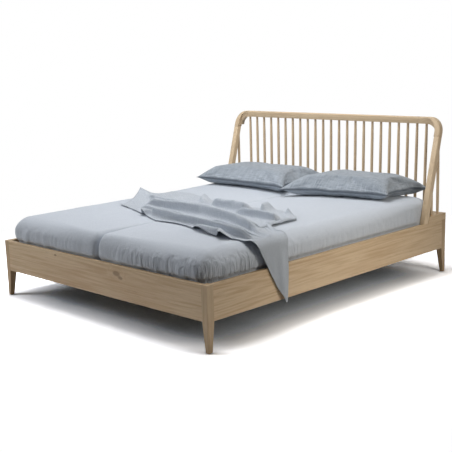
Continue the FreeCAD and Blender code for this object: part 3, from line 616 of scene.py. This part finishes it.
def boxGrid(low, high, step, openBottom):
    # a box as one welded skin of small quads
    count = [max(2, round((high[i] - low[i]) / step)) for i in range(3)]
    points, faces, seen = [], [], {}

    def index(place):
        if place not in seen:
            seen[place] = len(points)
            points.append([low[i] + (high[i] - low[i]) * place[i] / count[i] for i in range(3)])
        return seen[place]

    for axis in range(3):
        first, second = (axis + 1) % 3, (axis + 2) % 3
        for end in (0, count[axis]):
            if openBottom and axis == 2 and end == 0:
                continue
            for i in range(count[first]):
                for j in range(count[second]):
                    quad = []
                    for di, dj in ((0, 0), (1, 0), (1, 1), (0, 1)):
                        place = [0, 0, 0]
                        place[axis], place[first], place[second] = end, i + di, j + dj
                        quad.append(index(tuple(place)))
                    faces.append(quad if end else quad[::-1])
    return points, faces


def rolledPlace(point, low, high):
    # box point to rounded form: wide rolls along the rails, a tight one along the crease
    s = bedSet
    x, y, z = point
    outer = smooth(*s["outerReach"], (x - low[0]) / (high[0] - low[0]))
    foot = 1 - smooth(0, s["footReach"], y - low[1])
    head = smooth(high[1] - s["headReach"][0], high[1] - s["headReach"][1], y)
    acrossX = s["corner"] if outer > 0.5 else mixed(s["creaseRoll"], s["creaseCorner"], foot)
    alongY = mixed(s["creaseCorner"], s["corner"], outer) if y < 0 else s["headRoll"]
    upZ = mixed(mixed(s["creaseRoll"], s["roll"], foot), s["roll"], outer)
    upZ = mixed(upZ, s["headRoll"], head)
    radius = (acrossX, alongY, upZ)
    core = [min(max(x, low[0] + acrossX), high[0] - acrossX),
            min(max(y, low[1] + alongY), high[1] - alongY), min(z, high[2] - upZ)]
    away = [(part - middle) / reach for part, middle, reach in zip(point, core, radius)]
    bent = [math.copysign(math.tan(min(abs(part), 1) * math.pi / 4), part) for part in away]
    length = math.sqrt(sum(part * part for part in bent)) or 1
    unit = [part / length for part in bent]
    place = Vector([middle + reach * part for middle, reach, part in zip(core, radius, unit)])
    normal = Vector([part / reach for part, reach in zip(unit, radius)])
    return place, normal.normalized() if normal.length else Vector((0, 0, 1))


def swells(place, flat, upward, start):
    return noise.noise(Vector((place.x * flat, place.y * flat, place.z * upward + start)))


def bedSoft(place, normal, puckers):
    # bulge over the rails, crowned top, and puckers that tighten towards the near corner
    s = bedSet
    bulge = smooth(s["railTop"], s["railTop"] + s["puffRise"], place.z)
    bulge *= 1 - smooth(*s["puffFade"], place.z)
    bulge -= s["pinch"] * smooth(*s["pinchStart"], place.z) * (1 - smooth(*s["pinchEnd"], place.z))
    bulge *= 1 - smooth(*s["puffEnds"], place.y)
    place.x += max(normal.x, 0) * bulge * s["sidePuff"]
    place.y += min(normal.y, 0) * bulge * s["footPuff"]
    edge = min(place.x, s["high"][0] - place.x, place.y - s["low"][1])
    if normal.z > 0:
        crown = (1 - smooth(0, s["crownReach"], edge)) * (1 - smooth(*s["crownEnds"], place.y))
        place.z -= normal.z * s["crown"] * crown
        place.z += normal.z * s["uneven"] * noise.noise(Vector((place.x * 4, place.y * 3, 7)))
    if puckers:
        corner = s["nearCorner"]
        near = 1 - smooth(0.05, 1.0, math.hypot(place.x - corner[0], place.y - corner[1]))
        side = smooth(0.93, 0.35, abs(normal.z)) if normal.x > -0.5 else 0
        fine, wide = swells(place, *s["fine"], 0), swells(place, *s["wide"], 4)
        crease = (1 - min(1, abs(fine) * 3.2)) ** 2
        low = 1 - smooth(0.37, 0.52, place.z)
        push = side * mixed(0.35, 1, low) * mixed(0.35, 1, near)
        push *= wide * 1.5 - crease * 1.1 + fine * 0.5
        lines = 1 - min(1, abs(noise.noise(Vector((place.x * 2.2, place.y * 1.4, 3)))) * 9)
        push += normal.z ** 2 * s["flatPuckers"] * max(lines, 0)
        place += normal * max(push * puckers, -s["puckerLimit"])
    return place


def softBlock(name, inset, step, openBottom, puckers, mirrored):
    s = bedSet
    low = [s["low"][0] + inset, s["low"][1] + inset, s["hem"] if openBottom else s["low"][2]]
    high = [part - inset for part in s["high"]]
    points, faces = boxGrid(low, high, step, openBottom)
    flip = -1 if mirrored else 1
    placed = []
    for point in points:
        place = bedSoft(*rolledPlace(point, low, high), puckers)
        if not openBottom:
            # the mattress's own lower edge is rounded and piped
            rim = min(1, (place.z - low[2]) / s["pipingTall"])
            pull = s["piping"] * (1 - math.sqrt(max(0, 1 - (1 - rim) ** 2)))
            middle = Vector(((low[0] + high[0]) / 2, (low[1] + high[1]) / 2, place.z))
            towards = middle - place
            if towards.length:
                place += towards.normalized() * pull
        placed.append((place.x * flip, place.y, place.z))
    if mirrored:
        faces = [face[::-1] for face in faces]
    return meshFrom(name, placed, faces)


def addMattresses():
    s = bedSet
    for side in ("left", "right"):
        mirrored = side == "left"
        core = softBlock("mattress_core_" + side, s["coreInset"], s["coreStep"], False, 0, mirrored)
        settle(paint(core, tickingFinish), "mattress_ticking", "mattress_" + side)
        sheet = softBlock("fitted_sheet_" + side, 0, s["sheetStep"], True, s["puckers"], mirrored)
        thickened(sheet, s["sheetThick"], -1)
        settle(paint(sheet, sheetFinish), "sheet_cotton", "sheet_" + side)


addMattresses()


# pillows, blown up as cloth bags

pillowSet = {
    "left": {"corners": ((-0.900, 0.552), (0.006, 0.528), (0.016, 1.046), (-0.862, 1.058)), "seed": 1.0,
             "seamZ": 0.575},
    "right": {"corners": ((0.026, 0.462), (0.806, 0.646), (0.850, 1.058), (0.040, 1.060)), "seed": 9.0,
              "seamZ": 0.570},
    "base": 0.5275, "height": 0.152, "step": 0.0115, "drawInX": 0.085, "drawInY": 0.10, "dome": 2.4,
    "filled": 0.93, "seamWave": 0.006, "seamSag": 0.012, "ripple": 0.010, "rimOut": 0.009, "rimCrease": 0.9,
    # farthest travel of a point in the run, and how the underside is pressed flat on the sheet
    "cap": 0.045, "sunk": 0.022, "underside": 0.012, "gap": 0.0005, "pressedFlat": 0.34,
    "frames": 20, "gravity": 0, "contact": {"use_collision": False},
    "cloth": {"quality": 5, "mass": 0.35, "tension_stiffness": 18, "compression_stiffness": 18,
              "bending_stiffness": 0.35, "use_pressure": True, "uniform_pressure_force": 4.0}}


def pillowBag(name, corners, seed, seamZ):
    # two cloth faces sewn round the edge, already partly filled
    p = pillowSet
    frontLeft, frontRight, backRight, backLeft = (Vector(corner) for corner in corners)
    width, depth = (frontRight - frontLeft).length, (backLeft - frontLeft).length
    columns, rows = round(width / p["step"]), round(depth / p["step"])
    points, marks, faces, uvs, index = [], [], [], [], {}

    def plan(u, v):
        front = frontLeft * (1 - u) + frontRight * u
        back = backLeft * (1 - u) + backRight * u
        return front * (1 - v) + back * v

    for layer in (1, -1):
        for i in range(columns + 1):
            for j in range(rows + 1):
                rim = i in (0, columns) or j in (0, rows)
                if rim and layer == -1:
                    index[i, j, layer] = index[i, j, 1]
                    continue
                u, v = i / columns, j / rows
                sideU, sideV = 4 * u * (1 - u), 4 * v * (1 - v)
                # sides draw in between the corners
                spot = plan(u + (0.5 - u) * p["drawInX"] * sideV, v + (0.5 - v) * p["drawInY"] * sideU)
                dome = (1 - (1 - sideU) ** p["dome"]) ** 0.5 * (1 - (1 - sideV) ** p["dome"]) ** 0.5
                seam = seamZ + p["seamWave"] * noise.noise(Vector((u * 5, v * 5, seed)))
                seam -= p["seamSag"] * sideU * sideV
                room = p["base"] + p["height"] - seam if layer == 1 else p["base"] - seam
                ripple = noise.noise(Vector((spot.x * 9, spot.y * 9, seed + layer))) * p["ripple"]
                ripple *= 0 if rim else 1 - dome * 0.6
                index[i, j, layer] = len(points)
                points.append((spot.x, spot.y, seam + room * dome * p["filled"] + ripple))
                marks.append(float(rim))
    for layer in (1, -1):
        for i in range(columns):
            for j in range(rows):
                spots = [(i, j), (i + 1, j), (i + 1, j + 1), (i, j + 1)][::layer]
                faces.append([index[a, b, layer] for a, b in spots])
                for a, b in spots:
                    uvs += [a / columns * width, b / rows * depth + (layer < 0)]
    bag = meshFrom(name, points, faces)
    bag.data.attributes.new("rim", "FLOAT", "POINT").data.foreach_set("value", marks)
    bag.data.uv_layers.new(name="cloth").data.foreach_set("uv", uvs)
    return bag


def seamed(bag, corners):
    # the stitched rim stands out as a crisp edge
    mesh = bag.data
    marks = zip(mesh.vertices, mesh.attributes["rim"].data)
    rim = {vertex.index for vertex, mark in marks if mark.value > 0.5}
    middle = sum((Vector(spot) for spot in corners), Vector((0, 0))) / 4
    for index in rim:
        vertex = mesh.vertices[index]
        out = Vector((vertex.co.x - middle.x, vertex.co.y - middle.y, 0)).normalized()
        vertex.co += out * pillowSet["rimOut"]
    crease = mesh.attributes.new("crease_edge", "FLOAT", "EDGE")
    for edge in mesh.edges:
        if edge.vertices[0] in rim and edge.vertices[1] in rim:
            crease.data[edge.index].value = pillowSet["rimCrease"]
    return bag


def pointsOf(piece):
    return np.array([vertex.co[:] for vertex in piece.data.vertices])


def inflated(bag):
    # blown up under air pressure, with each point's travel capped
    p = pillowSet
    start = pointsOf(bag)
    simulated(bag, p)
    travel = pointsOf(bag) - start
    reach = np.linalg.norm(travel, axis=1, keepdims=True)
    moved = start + travel * np.minimum(1, p["cap"] / np.maximum(reach, 1e-9))
    # back to its own plan and height, its underside resting flat on the sheet
    for axis in (0, 1):
        first, last = start[:, axis].min(), start[:, axis].max()
        low, high = moved[:, axis].min(), moved[:, axis].max()
        moved[:, axis] = first + (moved[:, axis] - low) * (last - first) / (high - low)
    base = p["base"]
    low, high = moved[:, 2].min(), moved[:, 2].max()
    moved[:, 2] = base - p["sunk"] + (moved[:, 2] - low) * (p["height"] + p["sunk"]) / (high - low)
    under = moved[:, 2] < base + p["underside"]
    pressed = np.maximum(moved[under, 2] - base + p["sunk"], 0) * p["pressedFlat"]
    moved[under, 2] = base + p["gap"] + pressed
    bag.data.vertices.foreach_set("co", moved.ravel())
    bag.data.update()
    return bag


def addPillows():
    for side in ("left", "right"):
        p = pillowSet[side]
        bag = pillowBag("pillow_soft_" + side, p["corners"], p["seed"], p["seamZ"])
        bag = subdivided(seamed(inflated(bag), p["corners"]))
        settle(paint(bag, pillowFinish), "pillow_linen", "pillow_" + side)


addPillows()
print("pillows filled")


# throw

throwSet = {
    # the hems in plan, from the left to the end that hangs over the rail
    "front": ((-0.598, -0.432), (-0.400, -0.497), (-0.201, -0.565), (-0.012, -0.638), (0.211, -0.655),
              (0.450, -0.720), (0.676, -0.786), (0.800, -0.765), (0.950, -0.742), (1.124, -0.653),
              (1.301, -0.545)),
    "back": ((-0.770, 0.190), (-0.500, 0.150), (-0.250, 0.060), (0.000, 0.030), (0.220, 0.010),
             (0.480, 0.000), (0.715, -0.140), (0.690, -0.340), (0.930, -0.490), (1.124, -0.512),
             (1.302, -0.530)),
    "lie": 0.5310, "edge": 0.9455, "roll": 0.055, "steps": (120, 84), "flat": (1.40, 2.00), "thick": 0.0022,
    "lean": 0.58, "ripple": 0.0035, "calm": (0.86, 0.95), "tentPlace": 0.43, "tentLong": 0.17,
    "tentWide": 0.06, "tentOut": 0.035, "tentTall": 0.075,
    # the flap swings out a little below the edge, in waves by depth, pitch and start
    "hang": (0.93, 1.25), "swing": 0.014, "waves": ((0.006, 44, 1), (0.003, 97, 0)),
    "heldFlap": (0.86, 0.94), "heldTent": (0.6, 0.95), "frames": 7, "gravity": 0.25,
    "cloth": {"quality": 6, "mass": 0.22, "tension_stiffness": 22, "compression_stiffness": 22,
              "shear_stiffness": 6, "bending_stiffness": 0.5, "air_damping": 3,
              "vertex_group_mass": "held"},
    "contact": {"distance_min": 0.003, "use_self_collision": True, "self_distance_min": 0.004,
                "self_friction": 12},
    # stand-ins for the bed: the right side rail by its limits, and both mattresses a little swollen
    "blocker": {"thickness_outer": 0.003, "thickness_inner": 0.03, "cloth_friction": 40},
    "rail": ((0.90, 0.9425), (-1.13, 1.13), (0.168, 0.366)), "blockerInset": -0.0015, "blockerStep": 0.035,
    # crest in plan, height, half width, and how far the crest fades at each end
    "folds": (
        {"crest": ((-0.50, -0.30), (-0.238, -0.340), (0.081, -0.301), (0.455, -0.402), (0.717, -0.525),
                   (0.93, -0.60)), "tall": 0.072, "wide": 0.036, "fade": (0.20, 0.32)},
        {"crest": ((-0.20, -0.50), (0.145, -0.570), (0.434, -0.613), (0.649, -0.655), (0.904, -0.700)),
         "tall": 0.058, "wide": 0.023, "fade": (0.08, 0.12)},
        {"crest": ((-0.23, -0.63), (-0.14, -0.46)), "tall": 0.048, "wide": 0.024, "fade": (0.01, 0.10)},
        {"crest": ((0.80, -0.86), (0.68, -0.745), (0.35, -0.690)), "tall": 0.048, "wide": 0.030,
         "fade": (0.01, 0.16)},
        {"crest": ((-0.60, -0.20), (-0.30, -0.18), (0.02, -0.19), (0.22, -0.26)), "tall": 0.040,
         "wide": 0.028, "fade": (0.10, 0.12)},
        {"crest": ((-0.40, 0.20), (-0.230, 0.0), (-0.08, -0.13)), "tall": 0.042, "wide": 0.028,
         "fade": (0.05, 0.12)},
        {"crest": ((0.30, -0.50), (0.52, -0.545), (0.74, -0.60), (0.90, -0.64)), "tall": 0.036,
         "wide": 0.020, "fade": (0.14, 0.24)},
        {"crest": ((-0.42, -0.42), (-0.15, -0.435), (0.12, -0.45)), "tall": 0.034, "wide": 0.020,
         "fade": (0.12, 0.14)},
        {"crest": ((-0.12, -0.05), (0.159, -0.085), (0.335, -0.140)), "tall": 0.066, "wide": 0.036,
         "fade": (0.12, 0.025)},
        {"crest": ((0.68, -0.25), (0.50, -0.225), (0.24, -0.225)), "tall": 0.056, "wide": 0.024,
         "fade": (0.01, 0.14)},
        {"crest": ((0.35, 0.06), (0.385, -0.100)), "tall": 0.070, "wide": 0.020, "fade": (0.02, 0.06)},
        {"crest": ((0.555, 0.03), (0.585, -0.090)), "tall": 0.056, "wide": 0.022, "fade": (0.02, 0.07)})}


def alongCurve(points, share):
    place = share * (len(points) - 1)
    index = min(int(place), len(points) - 2)
    part = place - index
    before, start = points[max(index - 1, 0)], points[index]
    end, after = points[index + 1], points[min(index + 2, len(points) - 1)]
    spot = []
    for a, b, c, d in zip(before, start, end, after):
        spot.append(0.5 * (2 * b + (c - a) * part + (2 * a - 5 * b + 4 * c - d) * part ** 2
                           + (3 * b - a - 3 * c + d) * part ** 3))
    return spot


def overEdge(x, y, lift):
    # a point of the throw by its run across the bed: flat, round the roll, then down the side
    t = throwSet
    start = t["edge"] - t["roll"]
    arc = t["roll"] * math.pi / 2
    if x <= start:
        return Vector((x, y, t["lie"] + lift))
    if x <= start + arc:
        turn = (x - start) / t["roll"]
        reach = t["roll"] + lift
        return Vector((start + math.sin(turn) * reach, y, t["lie"] - t["roll"] + math.cos(turn) * reach))
    return Vector((t["edge"] + lift, y, t["lie"] - t["roll"] - (x - start - arc)))


def foldHeight(x, y):
    # the fold that stands highest over a place of the bed, with small ripples
    tall = 0
    for fold in throwSet["folds"]:
        crest = fold["crest"]
        total = sum(math.dist(a, b) for a, b in zip(crest, crest[1:]))
        done = 0
        for a, b in zip(crest, crest[1:]):
            run = math.dist(a, b)
            share = ((x - a[0]) * (b[0] - a[0]) + (y - a[1]) * (b[1] - a[1])) / run ** 2
            share = min(max(share, 0), 1)
            off = math.dist((x, y), (mixed(a[0], b[0], share), mixed(a[1], b[1], share)))
            along = done + share * run
            fade = smooth(0, fold["fade"][0], along + 0.001)
            fade *= smooth(0, fold["fade"][1], total - along + 0.001)
            tall = max(tall, fold["tall"] * fade * math.exp(-(off / fold["wide"]) ** 2))
            done += run
    ripple = noise.noise(Vector((x * 9, y * 11, 8))) + 0.5 * noise.noise(Vector((x * 21, y * 24, 3)))
    return tall + throwSet["ripple"] * (1 + ripple)


def throwStart():
    t = throwSet
    columns, rows = t["steps"]
    points, faces, uvs, tents, hems = [], [], [], [], []
    for i in range(columns + 1):
        u = i / columns
        front, back = alongCurve(t["front"], u), alongCurve(t["back"], u)
        for j in range(rows + 1):
            v = j / rows
            # the left hem stands up in a small tent
            tent = math.exp(-(u / t["tentWide"]) ** 2) * math.exp(-abs(v - t["tentPlace"]) / t["tentLong"])
            x, y = mixed(front[0], back[0], v) - tent * t["tentOut"], mixed(front[1], back[1], v)
            swing = t["swing"]
            for depth, pitch, start in t["waves"]:
                swing += depth * math.sin(y * pitch + start)
            tall = foldHeight(x, y) * (1 - smooth(*t["calm"], x))
            lift = tall + tent * t["tentTall"] + smooth(*t["hang"], x) * swing
            # crests lean over towards the foot
            points.append(overEdge(x, y - tall * t["lean"], lift))
            tents.append(tent)
            hems.append(float(i in (0, columns) or j in (0, rows)))
    for i in range(columns):
        for j in range(rows):
            a = i * (rows + 1) + j
            faces.append((a, a + rows + 1, a + rows + 2, a + 1))
            for c, d in ((i, j), (i + 1, j), (i + 1, j + 1), (i, j + 1)):
                uvs += [c / columns * t["flat"][1], d / rows * t["flat"][0]]
    piece = meshFrom("throw_soft", points, faces)
    piece.data.uv_layers.new(name="cloth").data.foreach_set("uv", uvs)
    piece.data.attributes.new("hem", "FLOAT", "POINT").data.foreach_set("value", hems)
    # the corner over the rail and the tent's tip are held where they are
    held = piece.vertex_groups.new(name="held")
    for vertex, tent in zip(piece.data.vertices, tents):
        hold = max(smooth(*t["heldFlap"], vertex.co.x), smooth(*t["heldTent"], tent))
        held.add([vertex.index], hold, "REPLACE")
    return piece


def dropped(piece):
    # gravity settles the folds; smooth blockers stand in for the bed during the run
    t = throwSet
    rail = [(x, y, z) for x in t["rail"][0] for y in t["rail"][1] for z in t["rail"][2]]
    railFaces = [(0, 1, 3, 2), (4, 6, 7, 5), (0, 4, 5, 1), (2, 3, 7, 6), (1, 5, 7, 3), (0, 2, 6, 4)]
    blockers = [meshFrom("blocker_rail", rail, railFaces)]
    for side in ("left", "right"):
        blockers.append(softBlock("blocker_" + side, t["blockerInset"], t["blockerStep"], True, 0,
                                  side == "left"))
    for blocker in blockers:
        blocker.modifiers.new("wall", "COLLISION")
        for key, value in t["blocker"].items():
            setattr(blocker.collision, key, value)
    simulated(piece, t)
    for blocker in blockers:
        bpy.data.objects.remove(blocker, do_unlink=True)


def addThrow():
    t = throwSet
    piece = throwStart()
    dropped(piece)
    subdivided(piece)
    thickened(piece, t["thick"], 0)
    settle(paint(piece, throwFinish), "throw_cotton", "throw")


addThrow()
print("throw laid")


# floor, light and background

lightSet = {
    "sky": 0.075, "floorHalf": 14, "floor": 0.6, "seenFloor": 3.3, "floorTint": (0.98, 1, 1.05),
    # share and tint of the painted shade on the seen floor deep under the bed, and where the floor turns
    # plain white
    "shade": 0.13, "shadeTint": (0.9, 1.1, 1.4), "shadeReach": 0.6, "shadeRange": (0.12, 0.88),
    "whiteRange": (1.75, 2.9),
    "lamps": {
        "overhead": {"place": (-0.2, -0.05, 2.9), "aim": (-0.2, 0, 0.4), "size": 2.3, "power": 66.0},
        "leftFront": {"place": (-3.6, -3.9, 3.0), "aim": (-0.4, -0.6, 0.4), "size": 1.8, "power": 80.0},
        "right": {"place": (3.3, 0.2, 1.5), "aim": (0.9, 0.1, 0.4), "size": 1.3, "power": 6.9,
                  "spread": 74, "colour": (1.0, 0.94, 0.84)}}}


def seenRays(tree):
    # 1 where the camera sees, also through glass or in a mirror, and 0 for light on its way
    rays = tree.nodes.new("ShaderNodeLightPath")
    camera, glossy, through = (Wire(tree, rays.outputs["Is %s Ray" % kind])
                               for kind in ("Camera", "Glossy", "Transmission"))
    return camera.maths("MAXIMUM", camera, glossy.maths("MAXIMUM", glossy, through))


def addFloor():
    # pale floor that the camera sees as white outside the bed's shadow
    s = lightSet
    half = s["floorHalf"]
    floor = meshFrom("floor", [(-half, -half, 0), (half, -half, 0), (half, half, 0), (-half, half, 0)],
                     [(0, 1, 2, 3)])
    finish = Finish("paleFloor")
    finish.tree.nodes.remove(finish.surface)

    def plain(level, tint):
        return tuple(level * part for part in tint) + (1,)

    def crossed(share, first, second):
        made = finish.tree.nodes.new("ShaderNodeMixShader")
        for socket, value in zip(made.inputs, (share, first, second)):
            feed(finish.tree, socket, value)
        return Wire(finish.tree, made.outputs[0])

    real = finish.node("BsdfDiffuse", Color=plain(s["floor"], (1, 1, 1)))
    # the seen floor gets real shadow from the lamps, and painted shade where the bed closes over it, by how
    # occluded it is
    clear = finish.node("AmbientOcclusion", {"samples": 16}, 1, Distance=s["shadeReach"])
    shaded = plain(s["seenFloor"] * s["shade"], s["shadeTint"])
    lit = plain(s["seenFloor"], s["floorTint"])
    colour = finish.blendColours(clear.between(*s["shadeRange"]), shaded, lit)
    shown = finish.node("BsdfDiffuse", Color=colour)
    backdrop = finish.node("Emission", Color=(1, 1, 1, 1), Strength=1.0)
    away = finish.node("VectorMath", {"operation": "LENGTH"}, 1, Vector=finish.objectPlace())
    shown = crossed(away.between(*s["whiteRange"]), shown, backdrop)
    # from below the floor is clear, so the underside of the bed can be looked at
    backSide = finish.node("NewGeometry", output=6)
    surface = crossed(backSide, crossed(seenRays(finish.tree), real, shown), finish.node("BsdfTransparent"))
    feed(finish.tree, finish.tree.nodes["Material Output"].inputs["Surface"], surface)
    paint(floor, finish.material)


def addLamp(name, place, aim, size, power, spread=180, colour=(1, 1, 1)):
    data = bpy.data.lights.new(name, "AREA")
    data.energy, data.size, data.spread, data.color = power, size, math.radians(spread), colour
    lamp = addObject(name, data)
    lamp.location = place
    lamp.rotation_euler = (Vector(aim) - Vector(place)).to_track_quat("-Z", "Y").to_euler()
    lamp.visible_camera = False


def addSky():
    world = bpy.data.worlds.new("studio")
    bpy.context.scene.world = world
    world.use_nodes = True
    tree = world.node_tree
    tree.nodes.clear()
    sky = tree.nodes.new("ShaderNodeBackground")
    sky.inputs["Color"].default_value = (1, 1, 1, 1)
    feed(tree, sky.inputs["Strength"], seenRays(tree) * (1 - lightSet["sky"]) + lightSet["sky"])
    tree.links.new(sky.outputs[0], tree.nodes.new("ShaderNodeOutputWorld").inputs[0])


addFloor()
addSky()
for lampName, lampValues in lightSet["lamps"].items():
    addLamp(lampName, **lampValues)
bpy.context.scene.view_settings.view_transform = "Standard"
